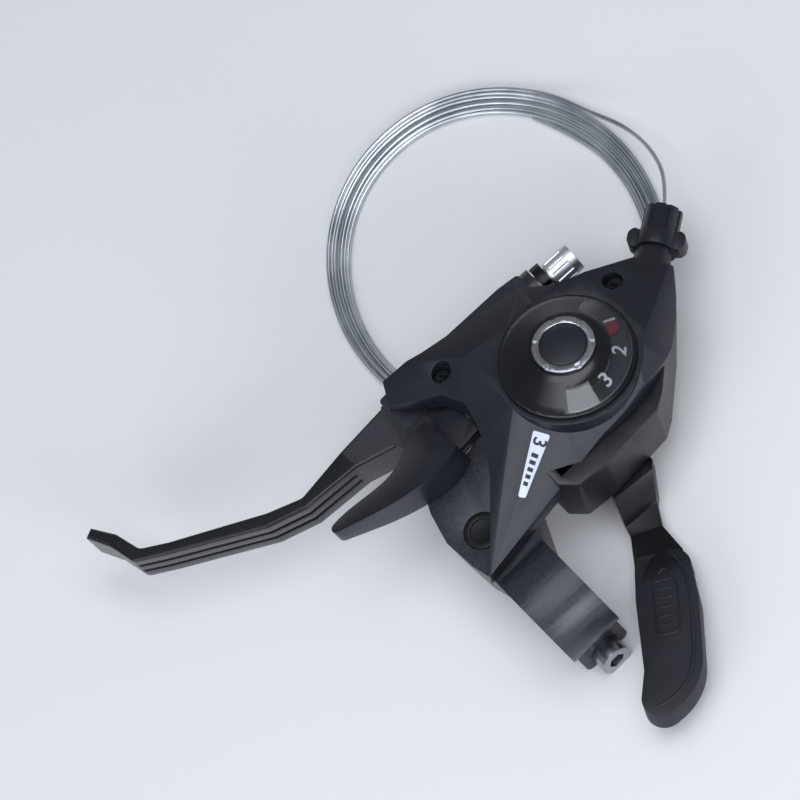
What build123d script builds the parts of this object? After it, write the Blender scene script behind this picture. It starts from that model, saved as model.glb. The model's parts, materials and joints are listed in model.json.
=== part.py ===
"""Left-hand combined brake lever and three-speed thumb shifter for a 22.2 mm flat bar.

Frame: origin at the centre of the bar clamp, +X along the bar towards the stem, +Y forward, +Z up.
The shift unit is leaned about +Y. It is drawn in its own frame UNIT: u inboard, v forward and w out
of the dial, with the origin at the centre of the dial's face.
"""
import os
from math import asin, atan2, cos, degrees, hypot, pi, radians, sin, tan

from build123d import *

# ---- driving dimensions, mm ----
BAR_D = 22.2              # handlebar
CLAMP_WALL = 2.6
CLAMP_W = 15.6
CLAMP_GAP = 2.4           # split under the bar
CLAMP_BOLT_R = 2.5
BOLT_WALL = 3.0           # between the bar and the clamp bolt
LUG_HALF_Y = 10.0         # half depth of the two lugs
PLATE_T = 2.0             # bracket's two plates
YOKE_TOP = 4.8            # underside of the upper plate
YOKE_BOTTOM = -6.8        # top of the lower plate
LEVER_GAP = 0.3           # free space over and under the brake lever
PIVOT_X, PIVOT_Y = 10.0, 48.0
PIVOT_R = 2.5
HUB_R = 7.0
ANCHOR_X, ANCHOR_Y = 13.0, 69.5
HOOK_R = 3.0
BARREL_Z = -1.0           # brake cable height
BARREL_TURN = -2.6        # brake cable's aim from the bar's direction, degrees
BOSS_R = 5.6
BOSS_END = 39.5           # from the cable hook's axis to the end of the boss
BARREL_R = 3.9
BARREL_L = 8.0
HOUSING_R = 2.6           # socket for a 5 mm brake outer housing
RUN = 0.05                # radial running clearance
DIAL_X, DIAL_Y, DIAL_Z = 44.0, 39.0, 15.0
LEAN = 12.0               # lean of the shift unit, degrees
DIAL_R = 17.6
DIAL_WALL = 1.5
CAP_RING_R = 8.0
CONE_H = 6.0
WALL = 2.0                # moulded walls
PART_W = -7.0             # joint between the cover and the lower housing
FLOOR_W = -22.5           # underside of the lower housing
AXLE_R = 3.0
WIND_R = 14.0             # wire on the drum
WIRE_R = 0.6
DRUM_W = -9.0             # middle of the wire groove
DRUM_T = 5.6
RATCHET_R = 10.8
TEETH = 18
KNOB_U, KNOB_V = 37.3, 12.8
KNOB_R = 4.9
KNOB_L = 11.9
NECK_R = 3.7
THUMB_U, THUMB_V = -4.0, -19.6
THUMB_POST_R = 2.5
THUMB_HUB_R = 6.0
ARM_T = 2.9
ARM_DROP = 9.3            # from the hub down to where the arm passes under the bar
TRIG_X, TRIG_Y = 19.0, 50.0
TRIG_Z = 7.2              # underside of the trigger
TRIG_RIDGE_Z = 18.0
TONGUE_T = 2.4
FLOOR_Z = -20.0           # surface that the loose wire lies on

# ---- places that follow ----
BAR_R = BAR_D / 2
RING_R = BAR_R + CLAMP_WALL
CLAMP_BOLT_DROP = BAR_R + BOLT_WALL + CLAMP_BOLT_R
PLATE_TOP = YOKE_TOP + PLATE_T
PLATE_BOTTOM = YOKE_BOTTOM - PLATE_T
LEVER_TOP = YOKE_TOP - LEVER_GAP
LEVER_BOTTOM = YOKE_BOTTOM + LEVER_GAP
COVER_Z = PLATE_TOP + 0.2
DRUM_TOP = DRUM_W + DRUM_T / 2
DRUM_BOTTOM = DRUM_W - DRUM_T / 2
WIRE_ANGLE = degrees(atan2(KNOB_V, KNOB_U) + asin(WIND_R / hypot(KNOB_U, KNOB_V)))
UNIT = Plane(origin=(DIAL_X, DIAL_Y, DIAL_Z), x_dir=(cos(radians(LEAN)), 0, -sin(radians(LEAN))),
             z_dir=(sin(radians(LEAN)), 0, cos(radians(LEAN)))).location
WIRE_LINE = Pos(KNOB_U, KNOB_V, DRUM_W) * Rot(0, 0, WIRE_ANGLE) * Rot(0, 90, 0)
CABLE_LINE = Pos(ANCHOR_X, ANCHOR_Y, BARREL_Z) * Rot(0, 0, BARREL_TURN) * Rot(0, 90, 0)

parts = {}


def rod(r, z0, z1, x=0.0, y=0.0):
    """Cylinder along local Z between two heights."""
    return Pos(x, y, (z0 + z1) / 2) * Cylinder(r, z1 - z0)


def tube(r_out, r_in, z0, z1, x=0.0, y=0.0):
    return rod(r_out, z0, z1, x, y) - rod(r_in, z0 - 1, z1 + 1, x, y)


def slab(points, z0, z1, fillet_r=0.0):
    """Prism on a plan outline, with its corners rounded."""
    face = make_face(Polyline(*points, close=True))
    if fillet_r:
        face = fillet(face.vertices(), fillet_r)
    return extrude(Pos(0, 0, z0) * face, z1 - z0)


def side(points, half):
    """Prism across the unit on a (u, w) outline."""
    face = Plane.XZ * make_face(Polyline(*points, close=True))
    return extrude(face, half, both=True)


def above(point, normal):
    """Large block on the outer side of a plane."""
    return Plane(origin=point, z_dir=normal).location * Pos(0, 0, 100) * Box(400, 400, 200)


def sector(r_out, r_in, z0, z1, a0, a1):
    """Part of a ring between two angles, up to 180 degrees wide."""
    reach = 3 * r_out
    mid = (a0 + a1) / 2
    wedge = slab([(0, 0), *[(reach * cos(radians(a)), reach * sin(radians(a))) for a in (a0, mid, a1)]],
                 z0 - 1, z1 + 1)
    return tube(r_out, r_in, z0, z1) & wedge


# ---- bracket: bar clamp, brake yoke and cable boss in one casting ----
HALF_W = CLAMP_W / 2
plan = [(-HALF_W, 6), (-HALF_W, RING_R), (-9.2, 20), (-9.8, 30), (-7.6, 39), (-4.0, 47), (1, 62), (3, 72.5),
        (20, 72.5), (44, 71.5), (50, 70.5), (50, 60), (30, 60.2), (19, 58.8), (16.2, 52), (15.6, 40),
        (13, 26), (HALF_W, RING_R), (HALF_W, 6)]
bracket = slab(plan, PLATE_BOTTOM, PLATE_TOP, 1.0)
swept = slab([(-30, 43), (1, 43), (PIVOT_X, 39.5), (19.2, 48), (19.2, 90), (-30, 90)], YOKE_BOTTOM, YOKE_TOP)
bracket -= swept + rod(HUB_R + 2, YOKE_BOTTOM, YOKE_TOP, PIVOT_X, PIVOT_Y)
bracket -= Pos(30, 74, (YOKE_TOP + YOKE_BOTTOM) / 2) * Box(27, 19, YOKE_TOP - YOKE_BOTTOM)
ring = Rot(0, 90, 0) * Cylinder(RING_R, CLAMP_W)
LUG_H = 10.0
lugs = Pos(0, 0, -CLAMP_BOLT_DROP + 1.6) * Box(CLAMP_W - 2, 2 * LUG_HALF_Y, LUG_H)
bracket += ring + fillet(lugs.edges().filter_by(Axis.Y), 2.0)
bracket += CABLE_LINE * rod(BOSS_R, BOSS_END - 10, BOSS_END)
bracket -= Rot(0, 90, 0) * Cylinder(BAR_R, CLAMP_W + 40)
bracket -= Pos(0, 0, -BAR_R - 7) * Box(CLAMP_W + 4, CLAMP_GAP, 20)
bracket -= Pos(0, 0, -CLAMP_BOLT_DROP) * Rot(90, 0, 0) * Cylinder(CLAMP_BOLT_R, 60)
NUT_POCKET = Pos(0, LUG_HALF_Y - 1.0, -CLAMP_BOLT_DROP) * Rot(90, 0, 0)
NUT_R = CLAMP_BOLT_R + 1.5
bracket -= NUT_POCKET * Cylinder(NUT_R, 6.0)
PIN_HEAD_R = PIVOT_R + 1.3
bracket -= rod(PIVOT_R, -20, 20, PIVOT_X, PIVOT_Y) + rod(PIN_HEAD_R, PLATE_TOP - 1.4, 20, PIVOT_X, PIVOT_Y)
THREAD_R = BARREL_R - 0.95
bracket -= CABLE_LINE * rod(THREAD_R + RUN, 20, BOSS_END + 1)
LUG_BOLT_X, LUG_BOLT_Y = -1.3, 25.5
bracket -= rod(5.0, PLATE_TOP - 1.2, 20, LUG_BOLT_X, LUG_BOLT_Y) + rod(2.0, -4, 20, LUG_BOLT_X, LUG_BOLT_Y)
REACH_Y, REACH_Z = 61.8, 1.5
bracket -= Pos(30, REACH_Y, REACH_Z) * Rot(0, 90, 0) * Cylinder(1.5, 24)
SCREW_A = UNIT * Pos(-24.8, 21.1, 0)
SCREW_B = UNIT * Pos(22.3, 9.6, 0)
SCREW_R = 1.4
bracket -= (SCREW_A * rod(SCREW_R, -30, 0)) & (Pos(0, 0, YOKE_TOP + 5.2) * Box(200, 200, 10))
parts["bracket"] = bracket

# ---- clamp and bracket fasteners ----
head_y = -LUG_HALF_Y
bolt = Pos(0, 0, -CLAMP_BOLT_DROP) * Rot(90, 0, 0) * (
    rod(CLAMP_BOLT_R, head_y - 1.0, -head_y) + rod(CLAMP_BOLT_R + 1.75, -head_y, -head_y + 4.8))
hexagon = extrude(RegularPolygon(2.3, 6), 3.0, both=True)
socket = Pos(0, head_y - 4.8, -CLAMP_BOLT_DROP) * Rot(90, 0, 0) * hexagon
bolt -= socket
parts["clamp_bolt"] = bolt
nut = NUT_POCKET * (extrude(RegularPolygon(NUT_R, 6), 1.8, both=True) - Cylinder(CLAMP_BOLT_R, 20))
parts["clamp_nut"] = nut
cap = rod(4.8, PLATE_TOP - 1.2, PLATE_TOP + 0.2, LUG_BOLT_X, LUG_BOLT_Y)
cap -= rod(3.2, PLATE_TOP - 0.4, PLATE_TOP + 2, LUG_BOLT_X, LUG_BOLT_Y)
parts["bracket_bolt"] = cap + rod(2.0, -4, PLATE_TOP - 1.0, LUG_BOLT_X, LUG_BOLT_Y)

# ---- brake lever and its pivot ----
front = FilletPolyline((3, 72), (-13, 71.2), (-28, 69.6), (-37, 73.6), (-60, 87.5), (-66.6, 92.2),
                       (-68.4, 100.0), (-72.0, 106.4), radius=3.0)
back = FilletPolyline((-74.6, 105.2), (-71.6, 98.4), (-70.0, 90.5), (-63, 85.6), (-39.5, 70.4), (-29, 66.4),
                      (-13, 64.8), (-2, 61), radius=2.5)
root = Polyline((-2, 61), (8, 62), (8, 72), (3, 72))
blade = make_face([front, Line((-72.0, 106.4), (-74.6, 105.2)), back, root])
lever = extrude(Pos(0, 0, LEVER_BOTTOM) * blade, LEVER_TOP - LEVER_BOTTOM)
GROOVE_W, GROOVE_DEEP = 1.5, 0.7
rear_strip = blade - Pos(-0.35, GROOVE_DEEP) * blade
rear_strip &= Pos(-42, 80) * Rectangle(56, 60)
for i in (1, 2):
    z = LEVER_BOTTOM + i * (LEVER_TOP - LEVER_BOTTOM) / 3
    lever -= extrude(Pos(0, 0, z - GROOVE_W / 2) * rear_strip, GROOVE_W)
lever += slab([(3.2, 48), (-2, 61), (2, 72), (11, 73.4), (17, 72), (17.2, 62), (16.8, 48)],
              LEVER_BOTTOM, LEVER_TOP)
lever += rod(HUB_R, LEVER_BOTTOM, LEVER_TOP, PIVOT_X, PIVOT_Y)
HOOK_MID = BARREL_Z
HOOK_H = 7.0
lever -= rod(HOOK_R + 0.06, HOOK_MID - HOOK_H / 2 - 0.2, 20, ANCHOR_X, ANCHOR_Y)
lever -= Pos(ANCHOR_X + 10, ANCHOR_Y - 0.5, HOOK_MID) * Box(20, 3.6, 3.2)
lever -= Pos(ANCHOR_X, ANCHOR_Y + 10, HOOK_MID) * Box(3.0, 20, 3.2)
SPRING_H = 2.2
lever -= rod(HUB_R - 1.0, LEVER_BOTTOM - 1, LEVER_BOTTOM + SPRING_H, PIVOT_X, PIVOT_Y)
BUSH_R = PIVOT_R + 1.5
GROOVE_R = PIVOT_R - 0.6
lever -= rod(BUSH_R, -20, 20, PIVOT_X, PIVOT_Y)
lever = fillet(lever.edges().group_by(Axis.Z)[-1].filter_by(lambda e: e.center().X < -20), 0.8)
parts["brake_lever"] = lever
parts["pivot_bush"] = tube(BUSH_R, PIVOT_R + RUN, LEVER_BOTTOM + SPRING_H, LEVER_TOP, PIVOT_X, PIVOT_Y)
CLIP_Z = PLATE_BOTTOM - 0.2
pin = rod(PIVOT_R, CLIP_Z - 1.8, PLATE_TOP, PIVOT_X, PIVOT_Y)
pin += rod(PIN_HEAD_R, PLATE_TOP - 1.4, PLATE_TOP, PIVOT_X, PIVOT_Y)
pin -= tube(6, GROOVE_R, CLIP_Z - 0.9, CLIP_Z, PIVOT_X, PIVOT_Y)
parts["brake_pivot_pin"] = pin
clip = tube(PIVOT_R + 1.8, GROOVE_R, CLIP_Z - 0.8, CLIP_Z - 0.1, PIVOT_X, PIVOT_Y)
parts["pivot_clip"] = clip - Pos(PIVOT_X, PIVOT_Y + 5, CLIP_Z) * Box(2.6, 10, 4)
parts["brake_return_spring"] = tube(HUB_R - 1.6, PIVOT_R + 0.4, LEVER_BOTTOM - 0.2,
                                    LEVER_BOTTOM + SPRING_H - 0.3, PIVOT_X, PIVOT_Y)
reach = Pos(0, REACH_Y, REACH_Z) * Rot(0, 90, 0) * rod(1.5, 17.6, 28)
reach_key = extrude(RegularPolygon(0.9, 6), 3, both=True)
parts["reach_screw"] = reach - Pos(28, REACH_Y, REACH_Z) * Rot(0, 90, 0) * reach_key
hook = rod(HOOK_R, HOOK_MID - HOOK_H / 2, HOOK_MID + HOOK_H / 2, ANCHOR_X, ANCHOR_Y)
hook -= Pos(ANCHOR_X + 2, ANCHOR_Y, HOOK_MID) * Box(4.01, 2.2, 2.4)
hook -= rod(2.0, HOOK_MID - 1.2, HOOK_MID + 1.2, ANCHOR_X, ANCHOR_Y)
parts["cable_hook"] = hook

# ---- brake cable adjuster ----
nut_l = 2.8
knurl0 = BOSS_END + 0.3 + nut_l + 0.3
barrel = rod(BARREL_R, knurl0, knurl0 + BARREL_L) + rod(THREAD_R, BOSS_END - 9, knurl0 + 1)
for i in range(12):
    barrel -= Rot(0, 0, i * 30) * rod(0.45, knurl0 + 0.8, knurl0 + BARREL_L - 2.2, BARREL_R + 0.1)
SOCKET_L = 7.0
barrel -= rod(HOUSING_R, knurl0 + BARREL_L - SOCKET_L, knurl0 + BARREL_L + 1) + rod(1.1, 0, 80)
parts["brake_barrel"] = CABLE_LINE * barrel
LOCK_R = BARREL_R + 1.1
lock = tube(LOCK_R, THREAD_R + RUN, BOSS_END + 0.3, BOSS_END + 0.3 + nut_l)
for i in range(4):
    lock -= Rot(0, 0, 45 + i * 90) * rod(1.0, BOSS_END - 1, BOSS_END + 6, LOCK_R + 0.2)
parts["barrel_lock_ring"] = CABLE_LINE * lock

# ---- lower housing of the shift unit ----
TIP = (-49.9, -26.2)
COVER_EDGE = [Line(TIP, (-36.2, -11.3)), ThreePointArc((-36.2, -11.3), (-28.4, 1.1), (-26.1, 10.5)),
              Polyline((-26.1, 10.5), (-28.4, 16.8), (-39.0, 26.7), (-36.0, 32.6), (-24.5, 29.9), (4.5, 26.2),
                       (11.2, 18.6), (31.0, 12.2), (37.0, 4.2), (32.3, -2.2), (25.1, -10.6)),
              ThreePointArc((25.1, -10.6), (9.0, -18.4), (-6.0, -20.3)), Line((-6.0, -20.3), TIP)]
low_plan = [(-22.8, -22.5), (-19, -26.2), (-10, -26.2), (0, -24.6), (8.5, -23.3), (12.8, -20.2), (24, -8.5),
            (34.5, 4.2), (30.5, 10.8), (22, 13.6), (11, 17.6), (-18, 18.4), (-22.5, 14)]
HOUSING_U = -22.8         # the housing lies inboard of this and behind HOUSING_V
HOUSING_V = 18.4
low = slab(low_plan, FLOOR_W, PART_W, 1.5)
inner = offset(make_face(Polyline(*low_plan, close=True)), -WALL)
low -= extrude(Pos(0, 0, FLOOR_W + WALL) * inner, 40)
LID_IN = 1.0
cover_reach = offset(make_face(COVER_EDGE), -LID_IN)
low += extrude(Pos(0, 0, PART_W - WALL) * (make_face(Polyline(*low_plan, close=True)) - cover_reach), WALL)
neck_len = 9.0
neck = WIRE_LINE * Pos(0, 0, -neck_len / 2) * Cone(NECK_R + 1.4, NECK_R, neck_len)
core = WIRE_LINE * rod(NECK_R - 0.6, -14, 0)
low += (neck + core) - above((0, 0, PART_W + 2.6), (0, 0, 1))
SHANK_R = 2.4
low -= WIRE_LINE * (rod(SHANK_R + RUN, -8.4, 1) + rod(WIRE_R + 0.3, -30, 1))
low += rod(3.0, FLOOR_W + WALL, PART_W, 22.3, 9.6) & slab(low_plan, FLOOR_W, PART_W)
low -= rod(SCREW_R, -13, 10, 22.3, 9.6)
low -= rod(AXLE_R, -40, 0)
low -= rod(THUMB_POST_R, -40, FLOOR_W + WALL + 1, THUMB_U, THUMB_V)
DRIVE_R = 6.2
slot_pts = [(THUMB_U + (DRIVE_R + d) * cos(radians(a)), THUMB_V + (DRIVE_R + d) * sin(radians(a)))
            for d, angles in ((1.6, range(62, 147, 12)), (-1.6, range(146, 61, -12))) for a in angles]
drive_slot = slab(slot_pts, -40, FLOOR_W + WALL + 2)
low -= drive_slot
low = UNIT * low
tongue_bay = Pos(18.5, TRIG_Y, TRIG_Z + 1.5) * Box(17, 18, 3.8)
low -= tongue_bay
TRIG_PIN_R = 1.5
parts["lower_housing"] = low

# ---- top cover ----
cover_plan = make_face(COVER_EDGE)
NOSE_U, NOSE_W = -50.5, -15.6


def cover_body(face, drop):
    """Solid under the cover's facets, lowered by drop for the inside."""
    body = extrude(Pos(0, 0, -20) * face, 30)
    top = [(60, -9 - drop), (19, -drop), (-DIAL_R - 1, -drop), (NOSE_U, NOSE_W - drop)]
    body &= side([*top, (NOSE_U - 3, NOSE_W - 1.4 - drop), (NOSE_U - 3, -30), (60, -30)], 60)
    body -= above((0, DIAL_R + 1, -drop), (0, sin(radians(22)), cos(radians(22))))
    n4 = radians(-46)
    body -= above((18.6 * cos(n4), 18.6 * sin(n4), -drop), (cos(n4), sin(n4), 0.85))
    return body - above((-24.7, -6.1, -3.0 - drop), (-0.167, -0.35, 0.922))


cover = cover_body(cover_plan, 0) + rod(DIAL_R + DIAL_WALL, PART_W, 0)
hollow = cover_body(offset(cover_plan, -WALL), WALL) + rod(DIAL_R - 1.0, -30, -2.7)
cover -= hollow
cover += (rod(4.2, -20, -5, -24.8, 21.1) & cover_body(cover_plan, 0))
cover += (rod(4.0, -20, -3, 22.3, 9.6) & cover_body(cover_plan, 0))
cowl = WIRE_LINE * Pos(0, 0, -8) * Cone(NECK_R + 3.8, NECK_R + 1.1, 16)
cover += cowl & Pos(0, 0, PART_W + 20) * Box(200, 200, 40)
cover -= rod(DIAL_R + RUN, -2.7, 10)
SCREW_SEAT_A, SCREW_SEAT_B = -8.0, -5.2
for u, v, seat in ((-24.8, 21.1, SCREW_SEAT_A), (22.3, 9.6, SCREW_SEAT_B)):
    cover -= rod(2.7, seat, 10, u, v) + rod(SCREW_R, -30, 0, u, v)
cover -= slab(low_plan, -40, PART_W)
cover -= WIRE_LINE * Pos(0, 0, -neck_len / 2) * Cone(NECK_R + 1.5, NECK_R + 0.1, neck_len)
cover -= WIRE_LINE * rod(NECK_R, -40, 1)
label_slot = slab([(-18.6, -8.4), (-16.2, -12.0), (-30.8, -18.6), (-32.0, -17.2)], -30, 10, 0.5)
LABEL_T = 0.5
label_in = label_slot & cover_body(cover_plan, 0)
label_in -= cover_body(cover_plan, LABEL_T)
cover -= label_in
cover -= Pos(HOUSING_U + 100, HOUSING_V - 100, PART_W - 50) * Box(200, 200, 100)
cover = UNIT * cover
over_housing = UNIT * Pos(HOUSING_U + 100, HOUSING_V - 100, 0) * Box(200, 200, 200)
cover -= Pos(0, 0, COVER_Z - 50) * Box(400, 400, 100) - over_housing
cover -= Pos(-4, 58, 0) * Box(50, 40, 21.2)
cover -= Rot(0, 90, 0) * Cylinder(RING_R + 0.2, CLAMP_W + 2)
parts["top_cover"] = cover
parts["label_plate"] = UNIT * (label_in - rod(DIAL_R + DIAL_WALL, -20, 10))
for name, where, seat, tip in (("cover_screw_front", (-24.8, 21.1), SCREW_SEAT_A, -13.6),
                               ("cover_screw_neck", (22.3, 9.6), SCREW_SEAT_B, -12.5)):
    screw = rod(2.5, seat, seat + 1.5, *where) + rod(SCREW_R, tip, seat, *where)
    cross = Pos(*where, seat + 1.5) * (Box(2.6, 0.6, 1.4) + Box(0.6, 2.6, 1.4))
    parts[name] = UNIT * (screw - cross)

# ---- dial ----
HUB_HOLE = AXLE_R + 1.6
parts["dial_plate"] = UNIT * tube(DIAL_R - 0.1, HUB_HOLE, -2.6, -1.8)


def cone_shell(r_out, r_in, lift=0.0):
    """Ring cut from the dial's raised cone."""
    slope = (CONE_H - 1.0) / (DIAL_R - CAP_RING_R - 1.0)
    z_out = 1.0 + (DIAL_R - r_out) * slope
    z_in = 1.0 + (DIAL_R - r_in) * slope
    t = 1.1
    ring_face = make_face(Polyline((r_in, z_in - t + lift), (r_out, z_out - t + lift), (r_out, z_out + lift),
                                   (r_in, z_in + lift), close=True))
    return revolve(Plane.XZ * ring_face, Axis.Z)


WIN_OUT, WIN_IN = DIAL_R - 0.9, CAP_RING_R + 3.4
WIN_A0, WIN_A1 = -128.0, 34.0
glass = cone_shell(WIN_OUT, WIN_IN) & sector(WIN_OUT + 2, WIN_IN - 2, -5, 12, WIN_A0, WIN_A1)
bezel = cone_shell(WIN_OUT + 0.3, CAP_RING_R + 0.7) + tube(DIAL_R, WIN_OUT + 0.2, -1.7, 1.0)
bezel -= sector(WIN_OUT, WIN_IN, -1.6, 12, WIN_A0, WIN_A1)
bezel += rod(CAP_RING_R + 0.8, CONE_H - 3.0, CONE_H - 1.8)
bezel += tube(CAP_RING_R + 0.8, CAP_RING_R + 0.05, CONE_H - 3.0, CONE_H)
parts["dial_window"] = UNIT * glass
parts["dial_bezel"] = UNIT * bezel
CAP_R = CAP_RING_R - 1.85
chrome = tube(CAP_RING_R, CAP_R + RUN, CONE_H - 1.8, CONE_H + 0.9)
for a in (20, 70, 135, 200, 262, 320):
    chrome -= Rot(0, 0, a) * Pos(CAP_RING_R - 0.6, 0, CONE_H + 0.9) * Box(1.3, 1.5, 1.0)
parts["chrome_ring"] = UNIT * chrome
cap_rim = tube(CAP_R + 1, CAP_R - 0.55, CONE_H, CONE_H + 1)
parts["dial_cap"] = UNIT * (rod(CAP_R, CONE_H - 1.8, CONE_H + 0.3) - cap_rim)

# ---- winding drum, indicator and ratchet on the main axle ----
drum = tube(WIND_R + 1.2, AXLE_R + RUN, DRUM_BOTTOM, DRUM_TOP)
drum -= tube(WIND_R + 3, WIND_R - WIRE_R - 0.05, DRUM_W - 0.9, DRUM_W + 0.9)
END_A = WIRE_ANGLE - 90
HEAD_A = END_A - 150
HEAD_R = 2.2
head_at = ((WIND_R - 1.6) * cos(radians(HEAD_A)), (WIND_R - 1.6) * sin(radians(HEAD_A)))
drum -= rod(HEAD_R + 0.05, DRUM_W - 1.4, DRUM_TOP + 1, *head_at)
parts["winding_drum"] = UNIT * drum
parts["wire_head"] = UNIT * rod(HEAD_R, DRUM_W - 1.4, DRUM_W + 1.6, *head_at)
turn_pts = [(WIND_R * cos(radians(a)), WIND_R * sin(radians(a)), DRUM_W)
            for a in (END_A, END_A - 65, END_A - 130)]
wrap_path = ThreePointArc(*turn_pts)
wrap = sweep(Plane(origin=wrap_path @ 0, z_dir=wrap_path % 0) * Circle(WIRE_R), path=wrap_path)
parts["wire_on_drum"] = UNIT * wrap
teeth = []
for i in range(TEETH):
    for r, shift in ((RATCHET_R, 0.0), (RATCHET_R - 1.4, 0.12)):
        a = 2 * pi * (i + shift) / TEETH
        teeth.append((r * cos(a), r * sin(a)))
RATCHET_T = 2.0
wheel = slab(teeth, DRUM_BOTTOM - RATCHET_T, DRUM_BOTTOM)
parts["ratchet_wheel"] = UNIT * (wheel - rod(AXLE_R + RUN, -40, 0))
NEEDLE_L = DIAL_R - 2.4
needle = rod(HUB_HOLE - 0.4, DRUM_TOP, -0.9)
needle += slab([(0, -1.6), (NEEDLE_L - 2, -0.7), (NEEDLE_L - 2, 0.7), (0, 1.6)], -1.6, -0.9)
needle += Pos(NEEDLE_L - 2.2, 0, -1.6) * extrude(Ellipse(2.3, 1.9), 0.7)
needle = Rot(0, 0, -2) * needle - rod(AXLE_R + RUN, -40, -3.4)
parts["gear_indicator"] = UNIT * needle
AXLE_TOP = -3.9
axle = rod(AXLE_R, FLOOR_W - 0.8, AXLE_TOP) + rod(AXLE_R + 2.0, FLOOR_W - 1.6, FLOOR_W)
parts["main_axle"] = UNIT * axle
BASE_TOP = FLOOR_W + WALL + 1.6
base = tube(12.0, AXLE_R, FLOOR_W + WALL, BASE_TOP) - drive_slot.moved(Pos(0, 0, 10))
parts["base_plate"] = UNIT * base
SPRING_TOP = DRUM_BOTTOM - RATCHET_T - 0.4
parts["drum_return_spring"] = UNIT * tube(AXLE_R + 5.6, AXLE_R + 1.6, BASE_TOP + 0.1, SPRING_TOP)

# ---- pawls ----
PAWL_PIN_R = 1.2
PAWL_R = 2.2
HOLD_AT = (-14.3, 9.6)


def pawl(at, nose):
    """Flat pawl: a round eye with a pointed nose towards the ratchet."""
    side_v = Vector(nose[1] - at[1], at[0] - nose[0]).normalized() * (PAWL_R * 0.75)
    body = slab([(at[0] + side_v.X, at[1] + side_v.Y), nose, (at[0] - side_v.X, at[1] - side_v.Y)],
                DRUM_BOTTOM - RATCHET_T, DRUM_BOTTOM - 0.2)
    body += rod(PAWL_R, DRUM_BOTTOM - RATCHET_T, DRUM_BOTTOM - 0.2, *at)
    return body - rod(PAWL_PIN_R + RUN, -40, 0, *at)


tip_r = RATCHET_R + 0.25
hold_a = radians(168)
parts["holding_pawl"] = UNIT * pawl(HOLD_AT, (tip_r * cos(hold_a), tip_r * sin(hold_a)))
parts["holding_pawl_pin"] = UNIT * rod(PAWL_PIN_R, FLOOR_W + WALL, DRUM_BOTTOM - 0.2, *HOLD_AT)
FEED_AT = (THUMB_U + DRIVE_R * cos(radians(85)), THUMB_V + DRIVE_R * sin(radians(85)))
feed_a = radians(-88)
parts["feed_pawl"] = UNIT * pawl(FEED_AT, (tip_r * cos(feed_a), tip_r * sin(feed_a)))

# ---- thumb lever ----
HUB_TOP = FLOOR_W - 0.6
HUB_LOW = HUB_TOP - ARM_T
UNDER_TOP = HUB_TOP - ARM_DROP
arm_plan = [(THUMB_U - 6, THUMB_V + 2), (-11.6, -26.5), (-13.4, -33), (-17.0, -38.6), (-25.5, -52),
            (-18, -60), (-10.5, -54), (-6.2, -45), (-5.7, -36.3), (-2.3, -30), (2.4, -25),
            (THUMB_U + 6, THUMB_V + 2)]
BEND_V = THUMB_V - 7.4
RUN_V = 3.2
skew = ARM_T * (hypot(RUN_V, ARM_DROP) - RUN_V) / ARM_DROP
ribbon = Plane.YZ * make_face(Polyline(
    (THUMB_V + 9, HUB_TOP), (BEND_V, HUB_TOP), (BEND_V - RUN_V, UNDER_TOP), (-70, UNDER_TOP),
    (-70, UNDER_TOP - ARM_T), (BEND_V - RUN_V + skew, UNDER_TOP - ARM_T), (BEND_V + skew, HUB_LOW),
    (THUMB_V + 9, HUB_LOW), close=True))
arm = slab(arm_plan, -60, 0, 1.0) & extrude(ribbon, 60, both=True)
arm += rod(THUMB_HUB_R, HUB_LOW, HUB_TOP, THUMB_U, THUMB_V)
arm -= rod(THUMB_POST_R + RUN, -60, 0, THUMB_U, THUMB_V)
arm += rod(PAWL_PIN_R, HUB_LOW + 1, DRUM_BOTTOM - 0.2, *FEED_AT)
parts["thumb_arm"] = UNIT * arm
pad_edge = [Polyline((-9.5, -42.5), (-18.0, -40.0), (-24.3, -48.4), (-35.6, -66.1), (-41.2, -72.0)),
            ThreePointArc((-41.2, -72.0), (-41.6, -77.6), (-36.5, -80.0)),
            ThreePointArc((-36.5, -80.0), (-27.0, -77.5), (-22.1, -73.0)),
            Polyline((-22.1, -73.0), (-12.6, -59.9), (-8.2, -51.5)),
            ThreePointArc((-8.2, -51.5), (-6.9, -46.5), (-9.5, -42.5))]
pad_face = make_face(pad_edge)
PAD_TOP = UNDER_TOP + 3.4
PAD_LOW = UNDER_TOP - ARM_T - 1.4
pad = extrude(Pos(0, 0, PAD_LOW) * pad_face, PAD_TOP - PAD_LOW)
pad -= above((-14.0, -47.0, UNDER_TOP + 1.1), (-0.10, 0.20, 0.97))
pad = fillet(pad.edges().group_by(Axis.Z)[0], 1.0)
pad -= arm
parts["thumb_pad"] = UNIT * pad
post = rod(THUMB_POST_R, HUB_LOW - 1.6, FLOOR_W + WALL + 0.8, THUMB_U, THUMB_V)
post -= tube(5, THUMB_POST_R - 0.6, HUB_LOW - 1.0, HUB_LOW - 0.2, THUMB_U, THUMB_V)
parts["thumb_post"] = UNIT * post
e_clip = tube(THUMB_POST_R + 1.7, THUMB_POST_R - 0.6, HUB_LOW - 0.9, HUB_LOW - 0.3, THUMB_U, THUMB_V)
parts["thumb_clip"] = UNIT * (e_clip - Pos(THUMB_U + 5, THUMB_V, HUB_LOW) * Box(10, 2.6, 4))
parts["thumb_return_spring"] = UNIT * tube(4.6, THUMB_POST_R + 0.2, HUB_TOP + 0.05, FLOOR_W - 0.05,
                                           THUMB_U, THUMB_V)

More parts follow.
